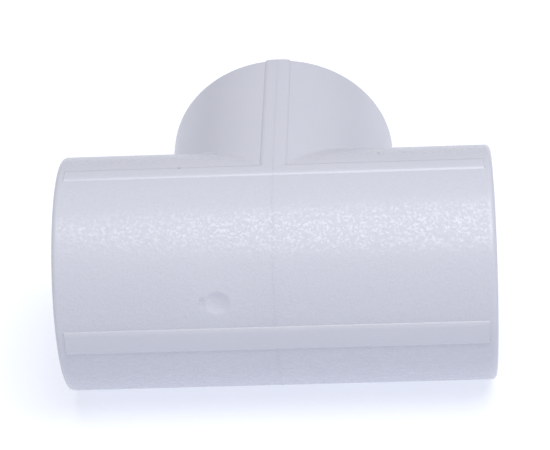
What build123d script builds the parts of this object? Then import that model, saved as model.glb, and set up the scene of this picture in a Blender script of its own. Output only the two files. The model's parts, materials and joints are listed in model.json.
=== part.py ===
"""Equal tee for 2-inch Schedule 40 pipe: one moulding with three solvent-weld sockets.

The tee lies on its side. The run lies along X, the branch points along +Y and +Z is up.
The origin is the middle of the footprint, on the surface that the tee lies on.
"""

import os
from math import cos, radians, sin

from build123d import *

# Driving dimensions, in millimetres
outside_radius = 35.2  # the same over the run and the branch
centre_to_end = 64.2  # from the crossing of the axes to each mouth
socket_radius = 30.24  # half-way down the solvent socket's slight taper
socket_depth = 29.9  # from the mouth to the pipe stop
waterway_radius = 27.4
mouth_chamfer = 1.0  # lead-in for the pipe
rim_round = 1.5
junction_round = 0.9  # where the branch grows out of the run

# Smooth raised bands along the outside, widths where they leave the wall
wide_band = 8.08  # back of the run, top and bottom of the branch
narrow_band = 5.38  # top and bottom of the run
band_height = 0.5
band_flank = 0.7  # size of the 45-degree chamfer that makes a band's sloping side
band_end_gap = 2.4  # from a run band's end to the mouth

# Witness line of the mould's two halves, in the plane across the run
witness_width = 0.4
witness_height = 0.08

# Shallow dish where the gate was broken off
gate_offset = 16.6  # from the middle of the run, towards -X
gate_angle = 19.4  # above the back of the run, in degrees
gate_ball_radius = 9.0
gate_depth = 0.85

# Worked out from the above
band_radius = outside_radius + band_height
witness_radius = outside_radius + witness_height
foot_radius = band_radius + witness_height
buried = band_flank - band_height  # how far a chamfer carries on below the wall's surface
band_end = centre_to_end - band_end_gap
run_setback = (centre_to_end - band_radius) / 2
centre = Vector(0, -run_setback, foot_radius)
gate_direction = Vector(0, -cos(radians(gate_angle)), sin(radians(gate_angle)))
gate_ball_centre = (
    centre
    + Vector(-gate_offset, 0, 0)
    + gate_direction * (outside_radius - gate_depth + gate_ball_radius)
)

# Each plane looks out of its mouth, with the crossing of the axes as its origin
right_end = Plane(origin=centre, x_dir=(0, 1, 0), z_dir=(1, 0, 0))
left_end = Plane(origin=centre, x_dir=(0, 1, 0), z_dir=(-1, 0, 0))
branch_end = Plane(origin=centre, x_dir=(1, 0, 0), z_dir=(0, 1, 0))
ends = [right_end, left_end, branch_end]


def at_a_mouth(edge):
    """True for an edge that lies in the plane of one of the three mouths."""
    heights = [end.to_local_coords(edge.center()).Z for end in ends]
    return any(abs(height - centre_to_end) < 0.01 for height in heights)


# Run bands: strips along the top, the bottom and the back, with sloping sides
with BuildPart() as run_bands:
    with BuildSketch(right_end):
        Circle(band_radius)
        Rectangle(narrow_band + 2 * buried, 2 * band_radius, mode=Mode.INTERSECT)
        chamfer(vertices(), band_flank)
    extrude(amount=band_end, both=True)
    with BuildSketch(right_end):
        Circle(band_radius)
        Rectangle(
            band_radius,
            wide_band + 2 * buried,
            align=(Align.MAX, Align.CENTER),
            mode=Mode.INTERSECT,
        )
        chamfer(vertices().group_by(Axis.X)[0], band_flank)
    extrude(amount=band_end, both=True)

# Branch bands: top and bottom, running out over the rim with the rim's rounding
with BuildPart() as branch_bands:
    with BuildSketch(branch_end):
        Circle(band_radius)
    extrude(amount=centre_to_end)
    fillet(edges().group_by(Axis.Y)[-1], rim_round)
    with BuildSketch(branch_end):
        Circle(band_radius)
        Rectangle(wide_band + 2 * buried, 2 * band_radius, mode=Mode.INTERSECT)
        chamfer(vertices(), band_flank)
    extrude(amount=centre_to_end, mode=Mode.INTERSECT)

# The moulding
with BuildPart() as tee_body:
    # Outside: two equal cylinders, rounded at the rims and where they meet
    with BuildSketch(right_end):
        Circle(outside_radius)
    extrude(amount=centre_to_end, both=True)
    with BuildSketch(branch_end):
        Circle(outside_radius)
    extrude(amount=centre_to_end)
    fillet(edges().filter_by(GeomType.ELLIPSE), junction_round)
    fillet(edges().filter_by(at_a_mouth), rim_round)

    # Witness line round the run and along the branch
    with BuildSketch(right_end):
        Circle(witness_radius)
    extrude(amount=witness_width / 2, both=True)
    with BuildSketch(branch_end):
        Rectangle(witness_width, 2 * foot_radius)
    extrude(amount=centre_to_end - rim_round)

    # Raised bands
    add(run_bands.part)
    add(branch_bands.part)

    # Gate dish: the hollow that a ball leaves in the back of the run
    with Locations(gate_ball_centre):
        Sphere(gate_ball_radius, mode=Mode.SUBTRACT)

    # Inside: waterways that cross, then a socket with a lead-in at each mouth
    for end in ends:
        with BuildSketch(end):
            Circle(waterway_radius)
        extrude(amount=centre_to_end, mode=Mode.SUBTRACT)
    for end in ends:
        with BuildSketch(end.offset(centre_to_end)):
            Circle(socket_radius)
        extrude(amount=-socket_depth, mode=Mode.SUBTRACT)
    mouths = edges().filter_by(at_a_mouth).filter_by(GeomType.CIRCLE)
    mouths = mouths.filter_by(lambda edge: abs(edge.radius - socket_radius) < 0.01)
    chamfer(mouths, mouth_chamfer)

tee_body.part.label = "tee_body"
os.makedirs("parts", exist_ok=True)
export_step(tee_body.part, "parts/tee_body.step")

box = tee_body.part.bounding_box()
print("box", box.min, box.max)
print("volume", round(tee_body.part.volume / 1000, 2), "cm3")
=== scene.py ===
# %% [markdown]
# # A plastic pipe tee, moulded in one piece
# The fitting joins three pipes: two in a straight line, called the run, and one square to them, called
# the branch. It is injection-moulded from rigid PVC in one shot, so there is nothing to take apart.
# The drawing office's model gives the exact size and place. This script builds the surface that is
# looked at around it, then its finish, the studio and the camera.

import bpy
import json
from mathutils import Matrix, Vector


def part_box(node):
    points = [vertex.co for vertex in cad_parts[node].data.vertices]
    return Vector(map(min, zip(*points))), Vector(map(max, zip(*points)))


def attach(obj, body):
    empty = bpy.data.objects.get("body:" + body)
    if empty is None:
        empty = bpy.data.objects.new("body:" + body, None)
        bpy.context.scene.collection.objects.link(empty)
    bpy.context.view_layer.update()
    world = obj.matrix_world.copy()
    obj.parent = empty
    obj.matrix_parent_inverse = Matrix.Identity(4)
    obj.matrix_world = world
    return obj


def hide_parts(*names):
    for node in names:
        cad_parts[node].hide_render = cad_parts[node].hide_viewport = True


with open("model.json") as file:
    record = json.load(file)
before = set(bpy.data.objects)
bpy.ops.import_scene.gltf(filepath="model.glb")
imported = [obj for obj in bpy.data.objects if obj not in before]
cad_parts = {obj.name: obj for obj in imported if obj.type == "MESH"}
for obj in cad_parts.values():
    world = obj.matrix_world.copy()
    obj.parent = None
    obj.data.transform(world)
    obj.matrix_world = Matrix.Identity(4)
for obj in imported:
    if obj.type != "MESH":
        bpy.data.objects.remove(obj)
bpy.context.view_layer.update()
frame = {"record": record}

# %% [markdown]
# ## Sizes
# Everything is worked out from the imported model: the sockets' place and radius come from its mounts,
# and the length and height from its box. What the box can't say, such as how high a band stands, is
# named here once.

# %% Sizes from the frame
import json
import math

import bmesh
import bpy
from mathutils import Matrix, Vector

MM = 0.001
mounts = {mount["name"]: mount for mount in frame["record"]["mounts"]}
socket = mounts["run_socket_right"]
_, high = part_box("tee_body")

band_height = 0.5 * MM
witness_height = 0.08 * MM
witness_width = 0.4 * MM
rim_round = 1.5 * MM
mouth_chamfer = 1.0 * MM
junction_round = 0.9 * MM
band_end_gap = 2.4 * MM
waterway_radius = 27.4 * MM

crossing = Vector((0, socket["pos_m"][1], socket["pos_m"][2]))
centre_to_end = high.x
outside_radius = high.z - crossing.z - band_height - witness_height
socket_radius = socket["dims"]["r_mm"] * MM
centre_to_stop = centre_to_end - mouth_chamfer - socket["dims"]["length_mm"] * MM
print("outside radius %.2f mm" % (outside_radius / MM))
print("centre to end %.2f mm, to the pipe stop %.2f mm" % (centre_to_end / MM, centre_to_stop / MM))

# %% [markdown]
# ## The wall's section
# A tube with a stepped bore is one outline turned about its axis. The outline needs only its corners:
# the outside, the rim, the lead-in for the pipe, the socket, the stop that the pipe pushes against and
# the waterway. A vertex bevel rounds the rim, because on a flat face it gives a true arc.

# %% The section
turns = 164  # steps round the tube: half a wide band is three of them, half a narrow one is two
step = 2 * math.pi / turns
half_wide = outside_radius * math.sin(3 * step)
half_narrow = outside_radius * math.sin(2 * step)
clear_of_branch = outside_radius + 3.2 * MM  # first ring of the run past the junction
rim_steps = 6
small_round = 0.25 * MM  # what a cutter leaves on every corner of the mould
X_AXIS, Y_AXIS, Z_AXIS = Vector((1, 0, 0)), Vector((0, 1, 0)), Vector((0, 0, 1))


def round_off(bm, corners, size, segments, affect="EDGES"):
    bmesh.ops.bevel(
        bm, geom=corners, offset=size, segments=segments, profile=0.5, affect=affect, material=-1
    )


def wall_section(bm, along):
    """Draws the wall's outline in the plane of the axis `along` and +Z, and returns its edges."""
    corners = [
        (0, outside_radius),
        (half_wide, outside_radius),
        (clear_of_branch, outside_radius),
        (centre_to_end - band_end_gap, outside_radius),
        (centre_to_end, outside_radius),
        (centre_to_end, socket_radius + mouth_chamfer),
        (centre_to_end - mouth_chamfer, socket_radius),
        (centre_to_stop, socket_radius),
        (centre_to_stop, waterway_radius),
        (0, waterway_radius),
    ]
    verts = [bm.verts.new(along * distance + Z_AXIS * radius) for distance, radius in corners]
    bm.faces.new(verts)
    rim, inner_corners = verts[4], verts[5:9]
    round_off(bm, [rim], rim_round, rim_steps, "VERTICES")
    round_off(bm, inner_corners, small_round, 2, "VERTICES")
    open_side = [edge for edge in bm.edges if all(abs(v.co.dot(along)) < 1e-9 for v in edge.verts)]
    bmesh.ops.delete(bm, geom=open_side, context="EDGES")
    return bm.edges[:]


# %% [markdown]
# ## Two tubes with a mitre between them
# Where two equal round tubes meet at right angles, the seam lies in the planes at 45 degrees to both,
# like the mitre of a picture frame. So no Boolean is needed. Each tube is spun whole, cut along those
# planes, and its cut edge is welded to its neighbour's, which has the same points. The left half of
# the run is a mirror image of the right half.

# %% Spin, cut and weld
def all_of(bm):
    return bm.verts[:] + bm.edges[:] + bm.faces[:]


def spun_tube(along):
    bm = bmesh.new()
    section = wall_section(bm, along)
    bmesh.ops.spin(
        bm,
        geom=section + bm.verts[:],
        cent=(0, 0, 0),
        axis=along,
        angle=2 * math.pi,
        steps=turns,
        use_merge=True,
    )
    return bm


def cut_away(bm, normal):
    """Removes what lies past the plane through the crossing."""
    bmesh.ops.bisect_plane(
        bm, geom=all_of(bm), dist=1e-7, plane_co=(0, 0, 0), plane_no=normal, clear_outer=True
    )


run_half = spun_tube(X_AXIS)
cut_away(run_half, Y_AXIS - X_AXIS)
bmesh.ops.mirror(run_half, geom=all_of(run_half), axis="X", merge_dist=2e-6)

branch = spun_tube(Y_AXIS)
cut_away(branch, X_AXIS - Y_AXIS)
cut_away(branch, -X_AXIS - Y_AXIS)

branch_mesh = bpy.data.meshes.new("branch")
branch.to_mesh(branch_mesh)
tee = run_half
tee.from_mesh(branch_mesh)
bmesh.ops.remove_doubles(tee, verts=tee.verts, dist=2e-6)
bmesh.ops.recalc_face_normals(tee, faces=tee.faces)
bpy.data.meshes.remove(branch_mesh)
branch.free()


def report(bm, title):
    loose = sum(len(edge.link_faces) != 2 for edge in bm.edges)
    print(title, len(bm.verts), "points,", len(bm.faces), "faces,", loose, "open edges")


report(tee, "two tubes welded:")

# %% [markdown]
# ## Raised bands
# Smooth strips stand half a millimetre proud along the top, the bottom and the back of the run, and
# along the top and bottom of the branch. The steps round the tube were chosen so that a band's edges
# are already edges of the mesh, so each band is extruded straight out. Its upright sides are then
# bevelled into slopes at 45 degrees, which is the mould's draft and what catches the light.

# %% Bands
band_end = centre_to_end - band_end_gap


def lies(face, out, sideways, half_width):
    """True for an outside face that looks `out` and lies within a strip of that half width."""
    middle = face.calc_center_median()
    outside = middle.dot(out) > socket_radius + mouth_chamfer
    return face.normal.dot(out) > 0.5 and outside and abs(middle.dot(sideways)) < half_width


def on_flat_band(face, out):
    """The run's narrow band and the branch's wide one, which together make a T."""
    middle = face.calc_center_median()
    run_band = lies(face, out, Y_AXIS, half_narrow) and abs(middle.x) < band_end
    branch_band = lies(face, out, X_AXIS, half_wide) and middle.y > 0
    return run_band or branch_band


def on_back_band(face, out):
    return lies(face, out, Z_AXIS, half_wide) and abs(face.calc_center_median().x) < band_end


def extruded(bm, faces):
    """Extrudes faces in place, removes the old ones, and returns the new points and faces."""
    made = bmesh.ops.extrude_face_region(bm, geom=faces)["geom"]
    bmesh.ops.delete(bm, geom=faces, context="FACES")
    points = [item for item in made if isinstance(item, bmesh.types.BMVert)]
    tops = [item for item in made if isinstance(item, bmesh.types.BMFace)]
    return points, tops


def raised(bm, faces, out, height):
    """Raises faces straight out by `height` and returns the new top faces."""
    points, tops = extruded(bm, faces)
    bmesh.ops.translate(bm, verts=points, vec=out * height)
    return tops


band_tops = set()
for out, belongs in ((Z_AXIS, on_flat_band), (-Z_AXIS, on_flat_band), (-Y_AXIS, on_back_band)):
    strip = [face for face in tee.faces if belongs(face, out)]
    band_tops.update(raised(tee, strip, out, band_height))
report(tee, "bands raised:")
print("band widths %.2f and %.2f mm" % (2 * half_wide / MM, 2 * half_narrow / MM))

# %% [markdown]
# ## Rounds where surfaces meet
# In the mould, the branch and the run are two cutters' work, and the corner between them keeps a small
# round. The mitre's edges are found by where they lie, and bevelled. The two that cross the bands are
# left alone, because the surfaces are level there.

# %% Junction and band edges
band_foot = 0.02 * MM  # what the slope leaves of the upright side


def mitre_edges(bm, inside):
    """The edges in the two 45-degree planes, of the outside or of the waterway."""
    found = []
    for edge in bm.edges:
        start, end = (vert.co for vert in edge.verts)
        on_mitre = all(abs(abs(co.x) - co.y) < 2e-6 for co in (start, end))
        level = abs(start.x - end.x) > 1e-6
        from_axis = math.hypot(start.y, start.z)
        if inside:
            wanted = from_axis < socket_radius
        else:
            wanted = from_axis > socket_radius and min(abs(start.x), abs(end.x)) > half_wide - 2e-6
        if on_mitre and level and wanted:
            found.append(edge)
    return found


band_outline = {
    edge
    for face in band_tops
    for edge in face.edges
    if sum(linked in band_tops for linked in edge.link_faces) == 1
    and edge.calc_face_angle() > math.radians(40)
}
round_off(tee, list(band_outline), band_height - band_foot, 1)
round_off(tee, mitre_edges(tee, inside=False), junction_round, 4)
round_off(tee, mitre_edges(tee, inside=True), small_round, 2)
report(tee, "junction and bands shaped:")

# %% [markdown]
# ## Witness line
# The mould's two halves close in the plane across the middle of the run, and the plastic creeps a few
# hundredths of a millimetre into that seam. Two cuts of the whole mesh mark a narrow ribbon, and the
# ribbon is raised: outwards round the run, and straight up and down on the branch's bands.

# %% The witness line
for side in (-1, 1):
    bmesh.ops.bisect_plane(
        tee, geom=all_of(tee), dist=1e-7, plane_co=X_AXIS * side * witness_width / 2, plane_no=X_AXIS
    )


def in_ribbon(face):
    return abs(face.calc_center_median().x) < witness_width / 2


def on_bare_run(face):
    """True for the run's own outside, between the bands and clear of the branch."""
    middle = face.calc_center_median()
    bare = abs(middle.y) > half_narrow and abs(middle.z) > half_wide
    return middle.y < 0 and bare and math.hypot(middle.y, middle.z) > socket_radius


ring = [face for face in tee.faces if in_ribbon(face) and on_bare_run(face)]
ring_points, _ = extruded(tee, ring)
swell = (outside_radius + witness_height) / outside_radius
bmesh.ops.scale(tee, verts=ring_points, vec=(1, swell, swell))
for out in (Z_AXIS, -Z_AXIS):
    ribbon = [
        face
        for face in tee.faces
        if in_ribbon(face)
        and face.normal.dot(out) > 0.9
        and face.calc_center_median().dot(out) > outside_radius
        and 0 < face.calc_center_median().y < centre_to_end - rim_round
    ]
    raised(tee, ribbon, out, witness_height)
report(tee, "witness line raised:")

# %% [markdown]
# ## Gate dish
# Plastic enters the mould through a small gate, which breaks off as the part is ejected. A shallow
# dish keeps the stub from standing proud. The dish is the hollow that a ball would press, so a patch of
# the mesh is divided finely and each point that lies inside the ball is dropped onto its surface.

# %% The gate dish
gate_offset = 16.6 * MM
gate_angle = math.radians(19.4)  # above the back of the run
gate_ball_radius = 9.0 * MM
gate_depth = 0.85 * MM
patch_half_length = 6.0 * MM
patch_half_angle = math.radians(8.5)

gate_out = Vector((0, -math.cos(gate_angle), math.sin(gate_angle)))
ball_centre = gate_out * (outside_radius - gate_depth + gate_ball_radius) - X_AXIS * gate_offset


def angle_above_back(co):
    return math.atan2(co.z, -co.y)


def near_gate(face):
    middle = face.calc_center_median()
    angle = abs(angle_above_back(middle) - gate_angle)
    return angle < patch_half_angle and math.hypot(middle.y, middle.z) > socket_radius and middle.x < 0


def with_edges(faces):
    edges = {edge for face in faces for edge in face.edges}
    verts = {vert for face in faces for vert in face.verts}
    return list(verts) + list(edges) + list(faces)


for side in (-1, 1):
    strip = [face for face in tee.faces if near_gate(face)]
    cut_at = X_AXIS * (side * patch_half_length - gate_offset)
    bmesh.ops.bisect_plane(tee, geom=with_edges(strip), dist=1e-7, plane_co=cut_at, plane_no=X_AXIS)


def gate_patch():
    near = [face for face in tee.faces if near_gate(face)]
    return [
        face for face in near if abs(face.calc_center_median().x + gate_offset) < patch_half_length
    ]


def runs_along(edge):
    return abs(edge.verts[0].co.x - edge.verts[1].co.x) > 1e-6


along_run = {edge for face in gate_patch() for edge in face.edges if runs_along(edge)}
bmesh.ops.subdivide_edges(tee, edges=list(along_run), cuts=35, use_grid_fill=True)
around_run = {edge for face in gate_patch() for edge in face.edges if not runs_along(edge)}
bmesh.ops.subdivide_edges(tee, edges=list(around_run), cuts=5, use_grid_fill=True)

patch_verts = {vert for face in gate_patch() for vert in face.verts}
inner_verts = [vert for vert in patch_verts if all(near_gate(face) for face in vert.link_faces)]
deepest = 0
for vert in inner_verts:
    spoke = Vector((0, vert.co.y, vert.co.z)).normalized()
    along = ball_centre.dot(spoke)
    reach = gate_ball_radius**2 - (ball_centre.y**2 + ball_centre.z**2 - along**2)
    reach -= (vert.co.x - ball_centre.x) ** 2
    radius = min(outside_radius, along - math.sqrt(max(reach, 0)))
    deepest = max(deepest, outside_radius - radius)
    vert.co = spoke * radius + X_AXIS * vert.co.x
bmesh.ops.smooth_vert(
    tee, verts=inner_verts, factor=0.5, use_axis_x=False, use_axis_y=True, use_axis_z=True
)
report(tee, "gate dish pressed:")
print("dish depth %.2f mm" % (deepest / MM))

# %% [markdown]
# ## The finished mesh
# The mesh was made round the crossing of the axes and is now moved to its place in the frame, while its
# object stays at the origin. Edges sharper than 50 degrees are marked, and a Weighted Normal modifier
# lets the large faces decide the shading, so that the rounds read as rounds and the tubes as true
# cylinders.

# %% From bmesh to a piece
sharp_angle = math.radians(50)

bmesh.ops.transform(tee, matrix=Matrix.Translation(crossing), verts=tee.verts)
bmesh.ops.recalc_face_normals(tee, faces=tee.faces)
for face in tee.faces:
    face.smooth = True
for edge in tee.edges:
    edge.smooth = edge.calc_face_angle(0) < sharp_angle

tee_mesh = bpy.data.meshes.new("tee_moulding")
tee.to_mesh(tee_mesh)
tee.free()
tee_moulding = bpy.data.objects.new("tee_moulding", tee_mesh)
bpy.context.scene.collection.objects.link(tee_moulding)
normals = tee_moulding.modifiers.new("even_shading", "WEIGHTED_NORMAL")
normals.keep_sharp = True
normals.weight = 60

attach(tee_moulding, "root")
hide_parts("tee_body")
print("faces", len(tee_mesh.polygons))

# %% [markdown]
# ## Shader arithmetic
# A finish is mostly arithmetic on coordinates and noise. This small class wraps a node's socket so that
# the sums can be written as Python: each operator adds one Math node. Any other node comes from `add`,
# which takes its type, its settings, and the values or links of its sockets.

# %% A socket that can be added, multiplied and compared


class Signal:
    """One output socket of a material's nodes."""

    def __init__(self, socket):
        self.socket = socket

    def add(self, kind, settings=None, output=0, **inputs):
        """Adds a node to the same material. A socket's name is written with _ for each space."""
        node = self.socket.id_data.nodes.new(kind)
        for name, value in (settings or {}).items():
            setattr(node, name, value)
        for name, value in inputs.items():
            shown = [socket for socket in node.inputs if socket.enabled]
            named = [socket for socket in shown if socket.name == name.replace("_", " ")]
            set_socket(named[0], value)
        if output is not None:
            shown = [socket for socket in node.outputs if socket.enabled]
            return Signal(shown[output])

    def maths(self, operation, first, second=0.0):
        node = self.socket.id_data.nodes.new("ShaderNodeMath")
        node.operation = operation
        set_socket(node.inputs[0], first)
        set_socket(node.inputs[1], second)
        return Signal(node.outputs[0])

    def __add__(self, other):
        return self.maths("ADD", self, other)

    def __radd__(self, other):
        return self.maths("ADD", other, self)

    def __sub__(self, other):
        return self.maths("SUBTRACT", self, other)

    def __rsub__(self, other):
        return self.maths("SUBTRACT", other, self)

    def __mul__(self, other):
        return self.maths("MULTIPLY", self, other)

    def __rmul__(self, other):
        return self.maths("MULTIPLY", other, self)

    def __pow__(self, other):
        return self.maths("POWER", self, other)

    def __abs__(self):
        return self.maths("ABSOLUTE", self)

    def rise(self, low, high):
        """0 below low, 1 above high, and smooth between."""
        settings = {"interpolation_type": "SMOOTHSTEP"}
        return self.add("ShaderNodeMapRange", settings, Value=self, From_Min=low, From_Max=high)


def set_socket(socket, value):
    if isinstance(value, Signal):
        socket.id_data.links.new(value.socket, socket)
    else:
        socket.default_value = value


# %% [markdown]
# ## Where on the tee a point lies
# The mould's finish changes from place to place: the run's cavity is spark-eroded and leaves a fine
# grain, while the branch, the bands and the bores are polished. Those areas follow from the shape, so
# they are worked out from Object coordinates, measured from the crossing of the axes.

# %% Masks
pvc = bpy.data.materials.new("white_pvc")
pvc.use_nodes = True
pvc.node_tree.nodes.clear()

coordinates = Signal(pvc.node_tree.nodes.new("ShaderNodeTexCoord").outputs["Object"])
place = coordinates.add("ShaderNodeMapping", Vector=coordinates, Location=-crossing)
axes = place.add("ShaderNodeSeparateXYZ", Vector=place).socket.node
x, y, z = (Signal(axes.outputs[name]) for name in "XYZ")

from_run_axis = (y * y + z * z) ** 0.5
from_branch_axis = (x * x + z * z) ** 0.5
past_mitre = y - abs(x)  # above 0 on the branch's side of the mitre
on_branch = past_mitre.rise(-0.2 * MM, 0.2 * MM)
skin = (33.4 * MM, 34.6 * MM)  # between the socket wall and the outside
outside_run = from_run_axis.rise(*skin) * (1 - on_branch)
outside_branch = from_branch_axis.rise(*skin) * on_branch

smooth_zone = 6.0 * MM  # the top band fades into the grain over this width
beside_top = 1 - abs(y).rise(half_narrow + 1.0 * MM, half_narrow + smooth_zone)
beside_back = (1 - abs(z).rise(half_wide, half_wide + 0.8 * MM)) * (1 - y.rise(-20 * MM, -10 * MM))
clear_of_rim = (centre_to_end - abs(x)).rise(1.0 * MM, 2.4 * MM)
clear_of_junction = 1 - past_mitre.rise(-2.5 * MM, -0.8 * MM)
grained = outside_run * (1 - beside_top) * (1 - beside_back) * clear_of_rim * clear_of_junction

# %% [markdown]
# ## The surface of the plastic
# Heights are in metres and go through one Bump node. The grain is two noises under a tenth of a
# millimetre high. The whole part has a long, low waviness, and the branch and the run's bore have
# faint drag marks along the way that they came out of the mould. Where the gate's stub tore off, at
# the left end of the dish, a small rough scar is left.

# %% Heights
grain_height = 0.09 * MM
wave_height = 0.10 * MM
drag_height = 0.012 * MM
scar_depth = 0.45 * MM
scar_offset = 4.3 * MM  # from the middle of the dish, towards -X
scar_squash = (1.5, 0.8, 0.8)  # makes the scar narrow along the run and tall round it


def noise(place, size, detail=2.0, roughness=0.5):
    """Noise whose features are about `size` across, between 0 and 1."""
    return place.add(
        "ShaderNodeTexNoise", Vector=place, Scale=1 / size, Detail=detail, Roughness=roughness
    )


def stretched(place, along):
    """The same coordinates scaled on each axis. A small scale draws a pattern out into streaks."""
    return place.add("ShaderNodeMapping", Vector=place, Scale=along)


def distance_from(place, point, squash=(1, 1, 1)):
    """How far each point of the surface is from one fixed point, with each axis scaled first."""
    shifted = place.add("ShaderNodeMapping", Vector=place, Location=-point)
    offset = stretched(shifted, squash)
    return place.add("ShaderNodeVectorMath", {"operation": "LENGTH"}, Vector=offset)


grain = noise(place, 0.7 * MM, detail=3.0, roughness=0.6)
peel = noise(place, 1.5 * MM)
wave = noise(place, 14 * MM)
branch_drag = noise(stretched(place, (1, 0.04, 1)), 1.1 * MM, detail=3.0)
bore_drag = noise(stretched(place, (0.04, 1, 1)), 0.9 * MM, detail=3.0)
inside_run = (1 - from_run_axis.rise(*skin)) * (1 - on_branch)


gate_place = ball_centre - gate_out * gate_ball_radius
scar_place = gate_place - X_AXIS * scar_offset
from_scar = distance_from(place, scar_place, scar_squash)
scar = (1 - from_scar.rise(0.3 * MM, 2.0 * MM)) * (0.4 + noise(place, 1.0 * MM))

height = grained * (grain - 0.5) * grain_height
height = height + grained * (peel - 0.5) * grain_height
height = height + wave * wave_height
height = height - scar * scar_depth
height = height + on_branch * branch_drag * drag_height
height = height + inside_run * bore_drag * drag_height

# %% [markdown]
# ## Colour and gloss
# Rigid PVC is whitened with titanium dioxide, so it looks a pale white. The blue cast of that white is
# painted light: it stands in for the bluish light on the tee. Near the gate it is a little milkier. A
# darker line along the witness ridge is painted shade, strong near the top and faint lower down. The
# gloss is a thin coat whose weight varies: even on the polished bands and branch, and patchy on the
# grain, where the flat tops between the pits shine most. That puts the sparkle in the highlight only.
# Two dark specks lie near the top of the run.

# %% The shader
# painted light: the blue cast in these whites stands in for the bluish light; the pale white is the
# PVC's own
painted_blue_cast_white = (0.545, 0.555, 0.635, 1)
milky_white = (0.57, 0.58, 0.66, 1)
# painted shade: the grey of the line along the witness ridge
witness_shade_grey = (0.50, 0.52, 0.60, 1)
speck_grey = (0.12, 0.12, 0.13, 1)
polished_shine = 0.35
plateau_shine = 0.5
pit_shine = 0.03
base_roughness = 0.32
# along the run, degrees above its back, distance from its axis
speck_places = [
    (-27.7 * MM, 93.0, outside_radius + band_height),
    (31.0 * MM, 105.5, outside_radius),
]


def blend(place, factor, first, second):
    settings = {"data_type": "RGBA"}
    return place.add("ShaderNodeMix", settings, Factor=factor, A=first, B=second)


clouds = noise(place, 30 * MM, detail=1.0)
flow = 1 - distance_from(place, gate_place).rise(2 * MM, 16 * MM)
# painted shade along the witness ridge, strong near the top and faint lower down
witness_shade = (1 - abs(x).rise(0.12 * MM, 0.32 * MM)) * (outside_run + outside_branch)
witness_shade = witness_shade * (0.15 + z.rise(16 * MM, 27 * MM))

colour = blend(place, clouds * 0.5 + flow * 0.3, painted_blue_cast_white, milky_white)
colour = blend(place, witness_shade * 0.3, colour, witness_shade_grey)
for along, degrees_up, radius in speck_places:
    angle = math.radians(degrees_up)
    middle = Vector((along, -radius * math.cos(angle), radius * math.sin(angle)))
    speck = 1 - distance_from(place, middle).rise(0.15 * MM, 0.5 * MM)
    colour = blend(place, speck * 0.7, colour, speck_grey)
roughness = base_roughness + (clouds - 0.5) * 0.06 + flow * 0.04
plateaus = noise(place, 0.85 * MM, detail=2.5, roughness=0.6).rise(0.46, 0.66)
polished = (outside_run + outside_branch) * (1 - grained)
shine = grained * (pit_shine + plateaus * plateau_shine) + polished * polished_shine

bump = place.add("ShaderNodeBump", Height=height, Distance=1.0, Strength=1.0)
plastic = place.add(
    "ShaderNodeBsdfPrincipled",
    Base_Color=colour,
    Roughness=roughness,
    Coat_Weight=shine,
    Coat_Roughness=0.27,
    Coat_IOR=1.75,
    Normal=bump,
    IOR=1.53,
    Specular_IOR_Level=0.1,
    Subsurface_Weight=0.1,
    Subsurface_Radius=(0.004, 0.004, 0.005),
    Subsurface_Scale=1.0,
)
place.add("ShaderNodeOutputMaterial", output=None, Surface=plastic)
tee_mesh.materials.append(pvc)
print("nodes in the finish", len(pvc.node_tree.nodes))

# %% [markdown]
# ## Floor
# The tee lies on a plain white floor. The floor gives off a little light of its own, faintly blue, as
# a lit studio table does, so it shows white and the shadow and the tee's underside stay light.

# %% Floor
floor_mesh = bpy.data.meshes.new("floor")
floor_shape = bmesh.new()
bmesh.ops.create_grid(floor_shape, x_segments=1, y_segments=1, size=4.0)
floor_shape.to_mesh(floor_mesh)
floor_shape.free()
floor = bpy.data.objects.new("floor", floor_mesh)
bpy.context.scene.collection.objects.link(floor)

floor_paint = bpy.data.materials.new("floor_paint")
floor_paint.use_nodes = True
paint = floor_paint.node_tree.nodes["Principled BSDF"]
paint.inputs["Base Color"].default_value = (0.5, 0.5, 0.5, 1)
paint.inputs["Roughness"].default_value = 0.9
paint.inputs["Specular IOR Level"].default_value = 0.1
paint.inputs["Emission Color"].default_value = (0.56, 0.585, 0.66, 1)
paint.inputs["Emission Strength"].default_value = 1.0
floor_mesh.materials.append(floor_paint)
print("floor %.0f m across" % floor.dimensions.x)

# %% [markdown]
# ## Light
# One square softbox stands almost overhead, a little in front and to the right, so the highlight runs
# along the run's upper side. A plain white world, turned low, fills in the rest evenly.

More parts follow.
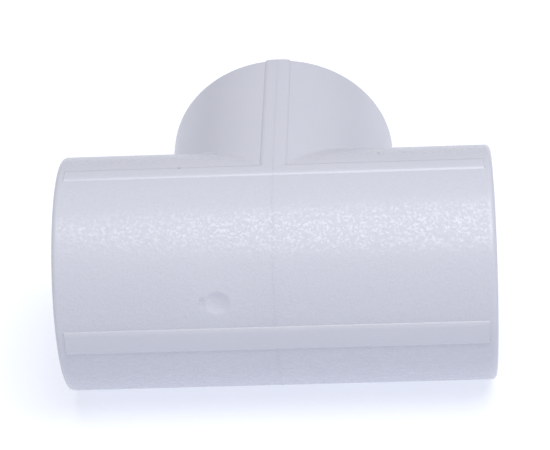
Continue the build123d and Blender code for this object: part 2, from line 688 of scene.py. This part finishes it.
# %% Lights
key_size = 0.7
key_power = 7.4
key_distance = 0.9
key_azimuth = math.radians(28)  # 0 is in front of the run and 90 degrees is to its right
key_elevation = math.radians(72)
world_strength = 0.39

towards_key = Vector(
    (
        math.sin(key_azimuth) * math.cos(key_elevation),
        -math.cos(key_azimuth) * math.cos(key_elevation),
        math.sin(key_elevation),
    )
)
key_data = bpy.data.lights.new("key", "AREA")
key_data.shape = "SQUARE"
key_data.size = key_size
key_data.energy = key_power
key = bpy.data.objects.new("key", key_data)
key.location = crossing + towards_key * key_distance
key.rotation_euler = (-towards_key).to_track_quat("-Z", "Y").to_euler()
bpy.context.scene.collection.objects.link(key)

world = bpy.data.worlds.new("studio")
world.use_nodes = True
world.node_tree.nodes["Background"].inputs["Color"].default_value = (1, 1, 1, 1)
world.node_tree.nodes["Background"].inputs["Strength"].default_value = world_strength
bpy.context.scene.world = world
bpy.context.scene.view_settings.view_transform = "Standard"
print("key light %.2f m from the tee" % key_distance)

# %% [markdown]
# ## Camera
# A long lens from behind the run and a third of the way up, as for a catalogue picture.

# %% Camera
camera_azimuth = 3.495  # degrees to the right of straight behind the run
camera_elevation = 34.23
camera_roll = -3.68
camera_distance = 20.55 * outside_radius
lens_per_width = 4.3636  # focal length as a multiple of the sensor's width

a, e = math.radians(camera_azimuth), math.radians(camera_elevation)
forward = Vector((-math.sin(a) * math.cos(e), math.cos(a) * math.cos(e), -math.sin(e)))
level = forward.to_track_quat("-Z", "Y").to_matrix()
right, up = level.col[0], level.col[1]
turn = Matrix.Rotation(-math.radians(camera_roll), 3, forward)
right, up = turn @ right, turn @ up
aim = crossing + (up * 0.367 - right * 0.036) * outside_radius

camera_data = bpy.data.cameras.new("camera")
camera_data.sensor_width = 36
camera_data.lens = camera_data.sensor_width * lens_per_width
camera_data.clip_start = 0.01
camera = bpy.data.objects.new("camera", camera_data)
camera.matrix_world = Matrix.Translation(aim - forward * camera_distance) @ (
    turn @ level
).to_4x4()
bpy.context.scene.collection.objects.link(camera)
bpy.context.scene.camera = camera
print("camera %.3f m from the tee" % camera_distance)
